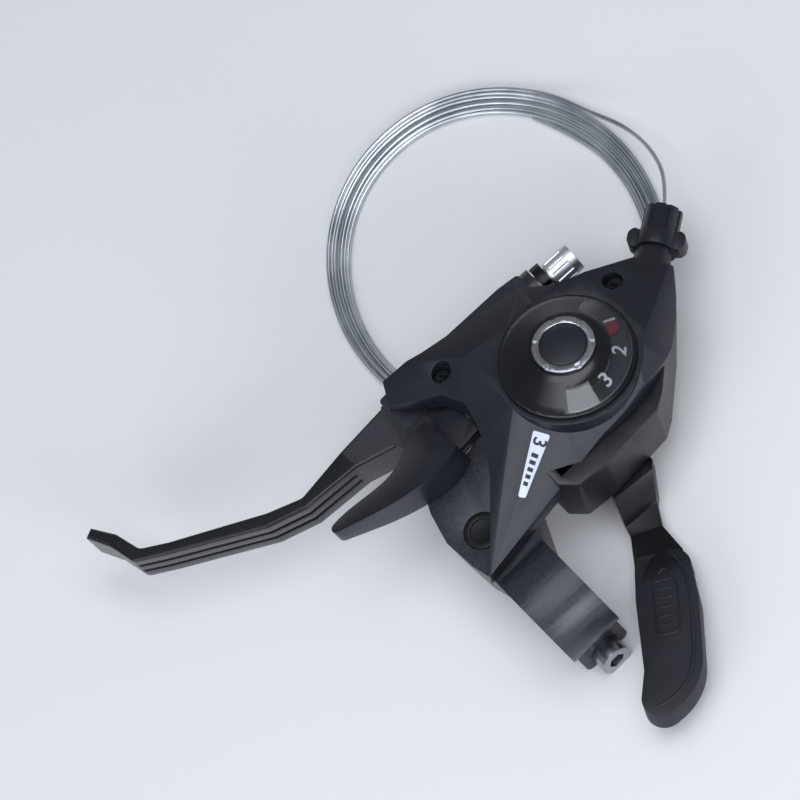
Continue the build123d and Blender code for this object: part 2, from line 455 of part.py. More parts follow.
# ---- release trigger ----
claw_edge = [Spline((9.0, 42.0), (3.6, 40.2), (-6.2, 41.3), (-15.5, 44.6), (-27.2, 50.3)),
             ThreePointArc((-27.2, 50.3), (-28.2, 52.3), (-26.6, 53.7)),
             Spline((-26.6, 53.7), (-14.7, 52.4), (-7.0, 52.2), (-1.5, 55.2), (3.2, 60.2)),
             Polyline((3.2, 60.2), (9.0, 59.0), (9.0, 42.0))]
claw = extrude(Pos(0, 0, TRIG_Z) * make_face(claw_edge), 20)
claw -= above((0, 41.0, TRIG_RIDGE_Z), (0, 0.447, 0.894))
tongue_top = TRIG_Z + 0.2 + TONGUE_T
claw += slab([(6, 44.5), (TRIG_X, TRIG_Y - 4.6), (TRIG_X, TRIG_Y + 4.6), (6, 57.5)], TRIG_Z + 0.2, tongue_top)
claw += rod(4.6, TRIG_Z + 0.2, tongue_top, TRIG_X, TRIG_Y)
claw -= rod(TRIG_PIN_R + RUN, 0, 40, TRIG_X, TRIG_Y)
parts["release_trigger"] = claw
trig_pin = rod(TRIG_PIN_R, 3.0, TRIG_Z + 3.3, TRIG_X, TRIG_Y)
parts["lower_housing"] = parts["lower_housing"] - trig_pin
parts["trigger_pin"] = trig_pin
parts["trigger_spring"] = tube(3.2, TRIG_PIN_R + 0.2, tongue_top + 0.15, TRIG_Z + 3.1, TRIG_X, TRIG_Y)

# ---- shift cable adjuster ----
knob = rod(KNOB_R, 0.3, KNOB_L) + rod(KNOB_R + 0.5, 0.3, 4.6)
WING_SPAN, WING_L = 15.0, 5.2
wings = Box(4.6, WING_SPAN, WING_L)
knob += Pos(0, 0, 0.3 + WING_L / 2) * fillet(wings.edges().filter_by(Axis.X), 2.0)
for i in range(8):
    knob -= Rot(0, 0, 22.5 + i * 45) * rod(0.7, 5.2, KNOB_L + 1, KNOB_R + 0.25)
knob += rod(SHANK_R, -7.6, 0.5)
FERRULE_R = 2.1
knob -= rod(WIRE_R + 0.3, -20, 40) + rod(FERRULE_R, KNOB_L - 6.0, KNOB_L + 1)
parts["shift_barrel"] = UNIT * (WIRE_LINE * knob)

# ---- gear wire: straight inside the unit, then loose, then coiled ----
start = (WIND_R * cos(radians(END_A)), WIND_R * sin(radians(END_A)), DRUM_W)
run_in = hypot(KNOB_U - start[0], KNOB_V - start[1])
parts["gear_wire_inside"] = UNIT * (WIRE_LINE * rod(WIRE_R, -run_in, KNOB_L))
exit_at = (UNIT * (WIRE_LINE * Pos(0, 0, KNOB_L))).position
route = [exit_at, (94.2, 66.6, -5.4), (97.2, 77.8, -7.6), (96.6, 89.6, -11.0), (93.4, 100.6, -14.2),
         (88.6, 109.6, -16.8)]
route = [Vector(*p) for p in route]
radii = []
for a, b, c in zip(route, route[1:], route[2:]):
    turn = radians((b - a).get_angle(c - b))
    radii.append(0.45 * min((b - a).length, (c - b).length) / tan(turn / 2))
wire_path = FilletPolyline(*route, radius=radii)
wire = sweep(Plane(origin=wire_path @ 0, z_dir=wire_path % 0) * Circle(WIRE_R), path=wire_path)
parts["gear_wire"] = wire
COIL_X, COIL_Y = 50.0, 92.0
COIL_A, COIL_B = 41.6, 47.5
COIL_WIDE, COIL_HIGH = 6.0, 4.6
coil = extrude(Ellipse(COIL_A + COIL_WIDE / 2, COIL_B + COIL_WIDE / 2), COIL_HIGH)
coil -= extrude(Ellipse(COIL_A - COIL_WIDE / 2, COIL_B - COIL_WIDE / 2), COIL_HIGH)
parts["wire_coil"] = Pos(COIL_X, COIL_Y, FLOOR_Z) * coil

os.makedirs("parts", exist_ok=True)
for name, solid in parts.items():
    export_step(solid, f"parts/{name}.step")
print(len(parts), "parts")
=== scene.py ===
"""Left-hand brake lever and thumb shifter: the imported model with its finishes, gear wire and small details.

The model is read once as a fixed frame, in metres: origin at the centre of the bar clamp, +X along the
bar towards the stem, +Y forward, +Z up. Every piece below rides on one of its bodies.
"""
import json
import math

import bmesh
import bpy
from mathutils import Matrix, Vector


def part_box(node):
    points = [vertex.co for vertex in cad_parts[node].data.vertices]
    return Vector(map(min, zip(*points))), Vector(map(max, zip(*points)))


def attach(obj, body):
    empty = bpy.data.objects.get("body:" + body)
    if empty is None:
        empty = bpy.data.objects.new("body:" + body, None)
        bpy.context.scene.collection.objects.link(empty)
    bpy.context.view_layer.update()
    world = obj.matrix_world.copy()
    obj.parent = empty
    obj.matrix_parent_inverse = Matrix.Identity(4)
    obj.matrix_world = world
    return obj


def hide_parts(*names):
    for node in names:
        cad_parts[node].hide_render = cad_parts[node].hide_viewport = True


bl_info = {
    "name": "Thumb Shifter Looks",
    "version": (1, 0, 0),
    "blender": (4, 5, 0),
    "location": "3D View > Sidebar > Shifter",
    "description": "Finishes, gear wire, dial and stage for a combined brake lever and thumb shifter",
    "category": "Object",
}

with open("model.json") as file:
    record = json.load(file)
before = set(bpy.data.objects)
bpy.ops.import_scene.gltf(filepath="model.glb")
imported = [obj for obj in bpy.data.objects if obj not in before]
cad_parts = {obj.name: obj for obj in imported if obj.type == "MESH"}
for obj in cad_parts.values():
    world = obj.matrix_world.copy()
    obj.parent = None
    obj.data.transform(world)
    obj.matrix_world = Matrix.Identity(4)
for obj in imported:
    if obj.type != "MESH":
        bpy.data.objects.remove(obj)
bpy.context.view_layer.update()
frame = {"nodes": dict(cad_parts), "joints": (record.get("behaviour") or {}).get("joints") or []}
NODES = frame["nodes"]
JOINTS = {joint["name"]: joint for joint in frame["joints"]}
MM = 0.001

# The shift unit leans about the bar's direction square to it; its dial axis is the drum's joint axis.
DIAL_LIFT = 9.0
DIAL_OUT = Vector(JOINTS["gear_index"]["axis"]).normalized()
FORWARD = Vector((0, 1, 0))
DIAL_ACROSS = FORWARD.cross(DIAL_OUT).normalized()
DIAL_CENTRE = Vector(JOINTS["gear_index"]["pos_m"]) + DIAL_OUT * DIAL_LIFT * MM
UNIT_AXES = (DIAL_ACROSS, FORWARD, DIAL_OUT)
UNIT = Matrix.Translation(DIAL_CENTRE) @ Matrix(UNIT_AXES).transposed().to_4x4()
LEVEL_AXES = (Vector((1, 0, 0)), FORWARD, Vector((0, 0, 1)))
FLOOR_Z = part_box("wire_coil")[0][2]

# Dial window: a cone from its rim inwards, in mm; its print lies just under the glass.
WINDOW_RIM_R = 17.6
WINDOW_RIM_W = 1.0
WINDOW_RUN, WINDOW_RISE = 8.6, 5.0
WINDOW_THICK = 1.1
PRINT_GAP = 0.06

# Cover behind the dial: the facet that carries the label, and the slope that meets it.
LABEL_FACET = Vector((-0.167, -0.35, 0.922))
FACET_POINT = (-24.7, -6.1, -3.0)
SPINE_FROM, SPINE_RUN, SPINE_DROP = -18.6, 31.9, 15.6

# Thumb pad: a sloping face that ends level, as a point, its slopes across and forward, and the level.
PAD_POINT = (-14.0, -47.0, -31.3)
PAD_SLOPES = (0.10 / 0.97, -0.20 / 0.97)
PAD_LEVEL = -29.0


# ---- places on the shift unit, all in mm ----

def unit_point(u, v, w):
    """Point in metres from millimetres across, forward and out of the dial."""
    return DIAL_CENTRE + (DIAL_ACROSS * u + FORWARD * v + DIAL_OUT * w) * MM


def window_under(radius):
    """Height of the window's underside at a radius, where its figures are printed."""
    return WINDOW_RIM_W + (WINDOW_RIM_R - radius) * WINDOW_RISE / WINDOW_RUN - WINDOW_THICK - PRINT_GAP


def cover_top(u, v):
    """Height of the cover's outer face behind the dial."""
    spine = -SPINE_DROP * (SPINE_FROM - u) / SPINE_RUN
    lean = LABEL_FACET.x * (u - FACET_POINT[0]) + LABEL_FACET.y * (v - FACET_POINT[1])
    return min(0.0, spine, FACET_POINT[2] - lean / LABEL_FACET.z)


def pad_top(u, v):
    """Height of the thumb pad's face."""
    slope = PAD_POINT[2] + PAD_SLOPES[0] * (u - PAD_POINT[0]) + PAD_SLOPES[1] * (v - PAD_POINT[1])
    return min(PAD_LEVEL, slope)


# ---- small makers ----

def linear(hex_colour):
    """Linear RGBA of an sRGB hex colour."""
    out = []
    for i in (1, 3, 5):
        c = int(hex_colour[i:i + 2], 16) / 255
        out.append(c / 12.92 if c <= 0.04045 else ((c + 0.055) / 1.055) ** 2.4)
    return (*out, 1.0)


def add_node(tree, kind, settings=None, inputs=None):
    """Adds a node with its settings; an input is a value or another node's output socket."""
    node = tree.nodes.new(kind)
    for name, value in (settings or {}).items():
        setattr(node, name, value)
    for name, value in (inputs or {}).items():
        if isinstance(value, bpy.types.NodeSocket):
            tree.links.new(value, node.inputs[name])
        else:
            node.inputs[name].default_value = value
    return node


CLOUD_MM = 14.0
MATERIALS = {}


def surface(key, name, light, dark, grain_mm, bump_mm, rough, metallic=0.0, wear="", **sockets):
    """A finish with clouded colour, uneven gloss and a fine relief, all at real sizes."""
    mat = bpy.data.materials.new(name)
    mat.use_nodes = True
    tree = mat.node_tree
    tree.nodes.clear()
    at = add_node(tree, "ShaderNodeTexCoord").outputs["Object"]
    grain = add_node(tree, "ShaderNodeTexNoise",
                     inputs={"Vector": at, "Scale": 1 / (grain_mm * MM), "Detail": 3.0, "Roughness": 0.6})
    cloud = add_node(tree, "ShaderNodeTexNoise",
                     inputs={"Vector": at, "Scale": 1 / (CLOUD_MM * MM), "Detail": 2.0})
    tone = add_node(tree, "ShaderNodeValToRGB", inputs={"Fac": cloud.outputs["Fac"]})
    for stop, position, colour in zip(tone.color_ramp.elements, (0.35, 0.65), (dark, light)):
        stop.position = position
        stop.color = linear(colour)
    shade = tone.outputs["Color"]
    if wear:
        edge = add_node(tree, "ShaderNodeNewGeometry").outputs["Pointiness"]
        mask = add_node(tree, "ShaderNodeMapRange",
                        inputs={"Value": edge, "From Min": 0.53, "From Max": 0.60}).outputs["Result"]
        broken = add_node(tree, "ShaderNodeMath", {"operation": "MULTIPLY"},
                          {0: mask, 1: grain.outputs["Fac"]}).outputs["Value"]
        shade = add_node(tree, "ShaderNodeMix", {"data_type": "RGBA"},
                         {"Factor": broken, "A": shade, "B": linear(wear)}).outputs["Result"]
    gloss = add_node(tree, "ShaderNodeMapRange",
                     inputs={"Value": grain.outputs["Fac"], "From Min": 0.3, "From Max": 0.7,
                             "To Min": rough * 0.88, "To Max": rough * 1.12}).outputs["Result"]
    relief = add_node(tree, "ShaderNodeBump",
                      inputs={"Height": grain.outputs["Fac"], "Strength": 1.0, "Distance": bump_mm * MM})
    shader = add_node(tree, "ShaderNodeBsdfPrincipled",
                      inputs={"Base Color": shade, "Roughness": gloss, "Metallic": metallic,
                              "Normal": relief.outputs["Normal"], **sockets})
    add_node(tree, "ShaderNodeOutputMaterial", inputs={"Surface": shader.outputs["BSDF"]})
    MATERIALS[key] = mat


def smooth_shading():
    """Geometry nodes that shade a carried-over node smooth and leave its own mesh as it is."""
    tree = bpy.data.node_groups.new("smooth_shading", "GeometryNodeTree")
    for side in ("INPUT", "OUTPUT"):
        tree.interface.new_socket(name="Geometry", in_out=side, socket_type="NodeSocketGeometry")
    before = add_node(tree, "NodeGroupInput").outputs["Geometry"]
    smooth = add_node(tree, "GeometryNodeSetShadeSmooth", inputs={"Geometry": before}).outputs["Geometry"]
    add_node(tree, "NodeGroupOutput", inputs={"Geometry": smooth})
    return tree


def ease_edges(obj, width_mm, angle, shading):
    """Rounds the moulded or cast edges of a node, which catch a thin line of light."""
    obj.modifiers.new("shading", "NODES").node_group = shading
    weld = obj.modifiers.new("weld", "WELD")
    weld.merge_threshold = 0.002 * MM
    bevel = obj.modifiers.new("edges", "BEVEL")
    bevel.width = width_mm * MM
    bevel.segments = 3
    bevel.limit_method = "ANGLE"
    bevel.angle_limit = math.radians(angle)
    bevel.harden_normals = True
    bevel.use_clamp_overlap = True


def place(name, data, material, body):
    """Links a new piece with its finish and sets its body."""
    data.materials.append(MATERIALS[material])
    obj = bpy.data.objects.new(name, data)
    bpy.context.collection.objects.link(obj)
    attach(obj, body)
    return obj


def print_piece(name, verts, faces, material):
    """Flat printed patch from points in metres."""
    mesh = bpy.data.meshes.new(name)
    mesh.from_pydata([tuple(v) for v in verts], [], faces)
    mesh.validate()
    shape = bmesh.new()
    shape.from_mesh(mesh)
    bmesh.ops.recalc_face_normals(shape, faces=shape.faces)
    shape.to_mesh(mesh)
    shape.free()
    return place(name, mesh, material, "bracket")


def round_line(name, points, radius, closed=False, order=2, resolution=10, sides=3):
    """Curve data of one open or closed spline through points in metres, as a round line."""
    curve = bpy.data.curves.new(name, "CURVE")
    curve.dimensions = "3D"
    curve.bevel_depth = radius
    curve.bevel_resolution = sides
    curve.resolution_u = resolution
    curve.use_fill_caps = True
    spline = curve.splines.new("NURBS" if order > 2 else "POLY")
    spline.points.add(len(points) - 1)
    for knot, point in zip(spline.points, points):
        knot.co = (*point, 1.0)
    spline.use_cyclic_u = closed
    if order > 2:
        spline.order_u = order
        spline.use_endpoint_u = not closed
    return curve


# ---- what a user would change ----

def colour_property(name, description, hex_colour):
    """Text field for an sRGB hex colour."""
    return bpy.props.StringProperty(name=name, description=description, default=hex_colour)


class StageSettings(bpy.types.PropertyGroup):
    """View and light."""
    elevation: bpy.props.FloatProperty(name="Elevation", description="Camera height above the horizon",
                                       default=math.radians(61), subtype="ANGLE", unit="ROTATION")
    roll: bpy.props.FloatProperty(name="Roll", description="Turn of the picture about the line of sight",
                                  default=math.radians(44.5), subtype="ANGLE", unit="ROTATION")
    distance: bpy.props.FloatProperty(name="Distance", description="Camera to the middle of the part",
                                      default=2.0, unit="LENGTH")
    width: bpy.props.FloatProperty(name="Width", description="Width of the picture at the part",
                                   default=0.202, unit="LENGTH")
    target: bpy.props.FloatVectorProperty(name="Target", description="Point that the camera looks at",
                                          default=(0.0069, 0.0722, 0.0), subtype="TRANSLATION", unit="LENGTH")
    backdrop: colour_property("Backdrop", "Colour of the paper floor", "#E8E7E9")


class WireSettings(bpy.types.PropertyGroup):
    """Inner gear wire."""
    diameter: bpy.props.FloatProperty(name="Diameter", description="Outside of the strand", default=0.0012,
                                      unit="LENGTH")
    turns: bpy.props.FloatProperty(name="Turns", description="Turns in the loose coil", default=6.05)
    close_gap: bpy.props.FloatProperty(name="Close gap", description="Between turns where they bunch",
                                       default=0.00078, unit="LENGTH")
    open_gap: bpy.props.FloatProperty(name="Open gap", description="Between turns where they fan out",
                                      default=0.00138, unit="LENGTH")


class FinishSettings(bpy.types.PropertyGroup):
    """Colours of the main finishes."""
    moulding: colour_property("Moulding", "Covers and trigger", "#161B26")
    gloss: colour_property("Gloss moulding", "Dial bezel", "#0E0F13")
    casting: colour_property("Casting", "Bracket and clamp", "#15171D")
    pad: colour_property("Pad", "Thumb pad rubber", "#171B27")
    pointer: colour_property("Pointer", "Gear indicator", "#B3173C")


# ---- stage ----

# Name, direction from the part in metres, side of the lamp in metres and power in watts.
LAMPS = (("key", (0.07, -0.22, 1.10), 1.0, 8.8), ("fill", (-0.90, -0.35, 0.50), 0.6, 3.6),
         ("low_window", (0.05, -0.98, 0.32), 0.5, 5.0))
DAYLIGHT = (0.89, 0.94, 1.0)
FLOOR_HALF = 1.6
FLOOR_GAP = 0.0001


class SHIFTER_OT_stage(bpy.types.Operator):
    """Set the camera, the pale floor and the soft lights"""
    bl_idname = "shifter.stage"
    bl_label = "Stage"

    def execute(self, context):
        s = context.scene.shifter_stage
        away = Vector((0, -math.cos(s.elevation), math.sin(s.elevation)))
        level = Vector((1, 0, 0))
        rise = away.cross(level)
        right = level * math.cos(s.roll) - rise * math.sin(s.roll)
        up = level * math.sin(s.roll) + rise * math.cos(s.roll)
        data = bpy.data.cameras.new("camera")
        data.sensor_width = 36
        data.lens = 36 * s.distance / s.width
        data.clip_start = 0.01
        camera = bpy.data.objects.new("camera", data)
        bpy.context.collection.objects.link(camera)
        camera.matrix_world = Matrix.Translation(Vector(s.target) + away * s.distance) @ Matrix(
            (right, up, away)).transposed().to_4x4()
        context.scene.camera = camera

        sweep = bpy.data.materials.new("matt_paper_sweep")
        sweep.use_nodes = True
        paper = sweep.node_tree.nodes["Principled BSDF"].inputs
        paper["Base Color"].default_value = linear(s.backdrop)
        paper["Roughness"].default_value = 0.9
        mesh = bpy.data.meshes.new("floor")
        corners = [(x * FLOOR_HALF, y * FLOOR_HALF, FLOOR_Z - FLOOR_GAP)
                   for x, y in ((-1, -1), (1, -1), (1, 1), (-1, 1))]
        mesh.from_pydata(corners, [], [(0, 1, 2, 3)])
        floor = bpy.data.objects.new("floor", mesh)
        mesh.materials.append(sweep)
        bpy.context.collection.objects.link(floor)

        for name, along, size, power in LAMPS:
            lamp = bpy.data.lights.new(name, "AREA")
            lamp.size = size
            lamp.energy = power
            lamp.color = DAYLIGHT
            obj = bpy.data.objects.new(name, lamp)
            bpy.context.collection.objects.link(obj)
            obj.location = Vector(s.target) + Vector(along)
            obj.rotation_euler = (-Vector(along)).to_track_quat("-Z", "Y").to_euler()
        world = bpy.data.worlds.new("studio")
        world.use_nodes = True
        sky = world.node_tree.nodes["Background"].inputs
        sky["Color"].default_value = linear("#EEF1F5")
        sky["Strength"].default_value = 0.24
        context.scene.world = world
        context.scene.view_settings.view_transform = "Standard"
        return {"FINISHED"}


# ---- finishes ----

PARTS_BY_FINISH = {
    "nylon": ("top_cover", "dial_cap", "shift_barrel", "release_trigger"),
    "abs": ("dial_bezel",),
    "abs_satin": ("lower_housing",),
    "powder": ("bracket",),
    "paint": ("brake_lever",),
    "rubber": ("thumb_pad",),
    "film": ("label_plate",),
    "dial": ("dial_plate",),
    "clear": ("dial_window",),
    "oxide": ("thumb_arm", "barrel_lock_ring", "bracket_bolt", "cover_screw_front", "cover_screw_neck",
              "reach_screw"),
    "zinc": ("clamp_bolt", "clamp_nut", "brake_pivot_pin", "pivot_clip", "brake_return_spring", "main_axle",
             "base_plate", "drum_return_spring", "holding_pawl_pin", "thumb_post", "thumb_clip",
             "thumb_return_spring", "trigger_pin", "trigger_spring", "cable_hook", "feed_pawl",
             "holding_pawl", "ratchet_wheel", "wire_head"),
    "chrome": ("chrome_ring",),
    "alloy": ("brake_barrel",),
    "bronze": ("pivot_bush",),
    "acetal": ("winding_drum",),
    "red": ("gear_indicator",),
    "wire": ("gear_wire", "gear_wire_inside", "wire_coil", "wire_on_drum"),
}
# Edge rounding in mm; the cover's facets meet at shallow angles, so its limit is lower.
EDGES = {"top_cover": 0.30, "lower_housing": 0.5, "bracket": 0.5, "release_trigger": 0.6, "brake_lever": 0.5,
         "thumb_arm": 0.4, "thumb_pad": 0.7, "shift_barrel": 0.3, "dial_bezel": 0.2, "dial_cap": 0.25,
         "chrome_ring": 0.15, "clamp_bolt": 0.25, "brake_barrel": 0.18, "barrel_lock_ring": 0.2,
         "bracket_bolt": 0.3, "label_plate": 0.1}
EDGE_ANGLE, FACET_ANGLE = 28, 12


class SHIFTER_OT_finishes(bpy.types.Operator):
    """Make every finish and give it to the carried-over parts"""
    bl_idname = "shifter.finishes"
    bl_label = "Finishes"

    def execute(self, context):
        s = context.scene.shifter_finish
        # Glass-filled nylon off a spark-eroded tool: a soft sheen broken by 0.3 mm grain.
        surface("nylon", "moulded_nylon", s.moulding, "#12161F", 0.30, 0.012, 0.40, IOR=1.53)
        # ABS from a polished tool: deep black with soft-edged reflections.
        surface("abs", "polished_abs", s.gloss, "#0B0C0F", 6.0, 0.004, 0.22, IOR=1.54)
        # Same ABS as moulded: duller, with a faint flow pattern under 1 mm.
        surface("abs_satin", "moulded_abs", "#131418", "#0E0F13", 0.8, 0.008, 0.40, IOR=1.54)
        # Die-cast aluminium under powder coat: slight orange peel about 0.7 mm across, paler at worn edges.
        surface("powder", "powder_coated_casting", s.casting, "#101217", 0.7, 0.016, 0.34, wear="#3A3D46",
                IOR=1.5)
        # Forged aluminium under satin paint: an even sheen, rubbed grey along its edges.
        surface("paint", "painted_aluminium", "#17181C", "#111215", 0.5, 0.006, 0.30, wear="#4A4C52", IOR=1.5)
        # Moulded rubber: dull, with a dusty grain.
        surface("rubber", "moulded_rubber", s.pad, "#14161D", 0.22, 0.014, 0.56, IOR=1.52)
        # Black oxide on pressed steel: thin, so some of the metal's reflection comes through.
        surface("oxide", "black_oxide_steel", "#131417", "#0C0D0F", 0.4, 0.006, 0.38, metallic=0.35)
        # Zinc plate on turned and pressed steel: pale grey with a milky reflection.
        surface("zinc", "zinc_plated_steel", "#B9BCC2", "#9A9DA4", 0.5, 0.006, 0.30, metallic=1.0)
        # Nickel-chrome plate over plastic: bright, slightly rippled by the moulding below.
        surface("chrome", "chrome_plate", "#C9CBD0", "#A4A7AD", 0.9, 0.02, 0.24, metallic=1.0)
        # Drawn stainless strand, bright on its crowns; its lay is drawn coarser than it is, so that it shows.
        surface("wire", "drawn_stainless_wire", "#E2E6EC", "#B4BAC2", 0.35, 0.02, 0.34, metallic=1.0)
        # Turned aluminium, left bright: a broad pale reflection from fine tool marks.
        surface("alloy", "turned_aluminium", "#F2F3F7", "#DCDFE6", 0.25, 0.006, 0.42, metallic=1.0)
        # Sintered bronze: warm and dull, its pores about 0.3 mm.
        surface("bronze", "sintered_bronze", "#A87C45", "#8C6435", 0.3, 0.01, 0.45, metallic=1.0)
        # Natural acetal: an off-white, waxy moulding.
        surface("acetal", "moulded_acetal", "#A9AAA4", "#9A9B95", 0.5, 0.006, 0.38, IOR=1.48)
        # Metallised film for the label: pale, with a weak silvery reflection.
        surface("film", "metallised_label", "#CDD2E4", "#C2C7DA", 0.4, 0.003, 0.34, metallic=0.15)
        # Printing inks: flat colour with almost no relief.
        surface("ink", "printing_ink", "#17181E", "#111217", 0.3, 0.002, 0.5)
        surface("white", "white_ink", "#EDEEF2", "#DFE0E6", 0.3, 0.002, 0.45)
        # Silver ink: the line inside the dial field is print; the same ink also makes a painted highlight
        # along the window's rim.
        surface("silver_print_and_painted_highlight", "silver_print_and_painted_highlight", "#A9ADB8", "#8D919C", 0.3, 0.002, 0.4, metallic=0.6)
        # Dial face in matt black print, and its blue-grey screen-printed field.
        surface("dial", "printed_dial", "#15161A", "#111216", 0.25, 0.004, 0.4, IOR=1.5)
        surface("grey_field", "screen_printed_field", "#3A3F4C", "#30343F", 0.25, 0.003, 0.5)
        # Cast acrylic pointer: a deep, even red with a gloss.
        surface("red", "red_acrylic", s.pointer, "#8E1030", 0.8, 0.004, 0.25, IOR=1.49)
        # Polycarbonate from a polished tool: clear, with sharp reflections along the cone.
        surface("clear", "clear_polycarbonate", "#F4F6FA", "#EEF1F6", 9.0, 0.004, 0.04,
                **{"Transmission Weight": 1.0, "IOR": 1.58})
        for key, names in PARTS_BY_FINISH.items():
            for name in names:
                if not NODES[name].material_slots:
                    raise RuntimeError(f"{name} has no material slot for its finish")
                for slot in NODES[name].material_slots:
                    slot.material = MATERIALS[key]
        shading = smooth_shading()
        for name, width in EDGES.items():
            ease_edges(NODES[name], width, FACET_ANGLE if name == "top_cover" else EDGE_ANGLE, shading)
        return {"FINISHED"}


# ---- gear wire ----

# Out of the adjuster, down and round to the coil's first turn, in mm.
WIRE_LEAD = ((94.2, 66.6, -5.4), (97.2, 77.8, -7.6), (96.6, 89.6, -11.0), (93.4, 100.6, -14.2))
ADJUSTER_REACH = 11.9
COIL_BAND = 6.0
COIL_SHORT = 0.25
COIL_START = 0.42
COIL_PHASE = -120
POINTS_PER_TURN = 16
TURN_LIFT = 1.1
TURN_WANDER = 0.0003
FLOOR_CLEAR = 0.00002


class SHIFTER_OT_gear_wire(bpy.types.Operator):
    """Lay the loose inner wire: out of the adjuster, down, and round in open turns"""
    bl_idname = "shifter.gear_wire"
    bl_label = "Gear Wire"

    def execute(self, context):
        s = context.scene.shifter_wire
        barrel = JOINTS["shift_barrel_turn"]
        exit_at = Vector(barrel["pos_m"]) + Vector(barrel["axis"]) * ADJUSTER_REACH * MM
        points = [exit_at] + [Vector(p) * MM for p in WIRE_LEAD]
        low, high = (Vector(c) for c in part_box("wire_coil"))
        middle = (low + high) / 2
        half_x = (high.x - low.x - COIL_BAND * MM) / 2
        half_y = (high.y - low.y - COIL_BAND * MM) / 2 - COIL_SHORT * MM
        lie = low.z + s.diameter / 2 + FLOOR_CLEAR
        for i in range(int(s.turns * POINTS_PER_TURN) + 1):
            turn = COIL_START + i / POINTS_PER_TURN
            angle = math.radians(turn * 360 + COIL_PHASE)
            fan = (1 - math.cos(2 * math.pi * turn)) / 2
            gap = s.close_gap + (s.open_gap - s.close_gap) * fan
            inward = gap * (turn - COIL_START - s.turns / 2) + TURN_WANDER * math.sin(1.7 * turn + 0.6)
            lift = TURN_LIFT * MM * (1 - math.cos(math.pi * turn)) / 2
            points.append(Vector((middle.x + (half_x - inward) * math.cos(angle),
                                  middle.y + (half_y - inward) * math.sin(angle), lie + lift)))
        curve = round_line("loose_gear_wire", points, s.diameter / 2, order=3, resolution=8, sides=4)
        wire = place("loose_gear_wire", curve, "wire", "bracket")
        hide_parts("gear_wire", "wire_coil")
        return {"FINISHED"}


# ---- dial and label print, and the window's painted highlight ----

# Figure, angle in degrees round the dial and radius in mm.
DIAL_FIGURES = (("1", -2, 13.6), ("2", -41.7, 13.4), ("3", -80.0, 13.2))
DIAL_FIGURE_SIZE = 5.4
LABEL_START, LABEL_END = Vector((-17.4, -10.3)), Vector((-31.4, -17.8))
LABEL_FIGURE_SIZE = 4.9
LABEL_FIGURE_AT = 2.3
LABEL_BARS = 5
BAR_FIRST, BAR_PITCH, BAR_LONG = 5.1, 1.75, 1.0
BAR_HALF, BAR_TAPER = 0.85, 0.07
FIELD_W = -1.76


def figure(name, text, size, at, turn, lean, material):
    """Flat printed figure at a point of the unit in mm, on a face whose normal is lean."""
    curve = bpy.data.curves.new(name, "FONT")
    curve.body = text
    curve.size = size * MM
    curve.align_x = "CENTER"
    curve.align_y = "CENTER"
    curve.offset = 0.00008
    curve.extrude = 0.00002
    obj = place(name, curve, material, "bracket")
    tilt = Vector((0, 0, 1)).rotation_difference(lean).to_matrix().to_4x4()
    obj.matrix_world = (UNIT @ Matrix.Translation(Vector(at) * MM) @ tilt
                        @ Matrix.Rotation(math.radians(turn), 4, "Z"))


def ring_band(name, edges, start, end, material):
    """Strip between two rings, given as (height, radius) in mm, over an arc of the dial."""
    steps = 48
    verts = []
    for height, radius in edges:
        for i in range(steps + 1):
            a = math.radians(start + (end - start) * i / steps)
            verts.append(unit_point(radius * math.cos(a), radius * math.sin(a), height))
    faces = [(i, i + 1, steps + 2 + i, steps + 1 + i) for i in range(steps)]
    print_piece(name, verts, faces, material)


class SHIFTER_OT_dial(bpy.types.Operator):
    """Print the dial's figures, field and inner line, and paint a highlight along the window's rim as a
    silver line
    """
    bl_idname = "shifter.dial"
    bl_label = "Dial"

    def execute(self, context):
        for text, angle, radius in DIAL_FIGURES:
            a = math.radians(angle)
            lean = Vector((WINDOW_RISE * math.cos(a), WINDOW_RISE * math.sin(a), WINDOW_RUN))
            at = (radius * math.cos(a), radius * math.sin(a), window_under(radius))
            figure(f"dial_numeral_{text}", text, DIAL_FIGURE_SIZE, at, angle + 90, lean, "white")
        # Painted highlight: a silver line just under the glass, running round the window's rim from -124 to
        # 30 degrees, where the rim catches the light.
        rim = [(window_under(r) - 0.04, r) for r in (16.35, 16.05)]
        ring_band("window_rim_painted_highlight", rim, -124, 30, "silver_print_and_painted_highlight")
        ring_band("dial_field", [(FIELD_W, 16.9), (FIELD_W, 9.0)], -96, 24, "grey_field")
        ring_band("dial_field_line", [(FIELD_W + 0.04, 10.2), (FIELD_W + 0.04, 9.9)], -96, 24, "silver_print_and_painted_highlight")
        return {"FINISHED"}


class SHIFTER_OT_label(bpy.types.Operator):
    """Print the label's figure and its row of plain bars"""
    bl_idname = "shifter.label"
    bl_label = "Label"

    def execute(self, context):
        along = (LABEL_END - LABEL_START).normalized()
        across = Vector((-along.y, along.x))
        u, v = LABEL_START + along * LABEL_FIGURE_AT
        turn = math.degrees(math.atan2(along.y, along.x))
        at = (u, v, cover_top(u, v) + PRINT_GAP)
        figure("label_numeral", "3", LABEL_FIGURE_SIZE, at, turn, LABEL_FACET, "ink")
        for i in range(LABEL_BARS):
            start = BAR_FIRST + i * BAR_PITCH
            half = BAR_HALF - BAR_TAPER * i
            corners = []
            for d, h in ((0, -half), (BAR_LONG, -half), (BAR_LONG, half), (0, half)):
                q = LABEL_START + along * (start + d) + across * h
                corners.append(unit_point(q.x, q.y, cover_top(q.x, q.y) + PRINT_GAP))
            print_piece(f"label_bar_{i + 1}", corners, [(0, 1, 2, 3)], "ink")
        return {"FINISHED"}


# ---- thumb pad's moulded marks ----

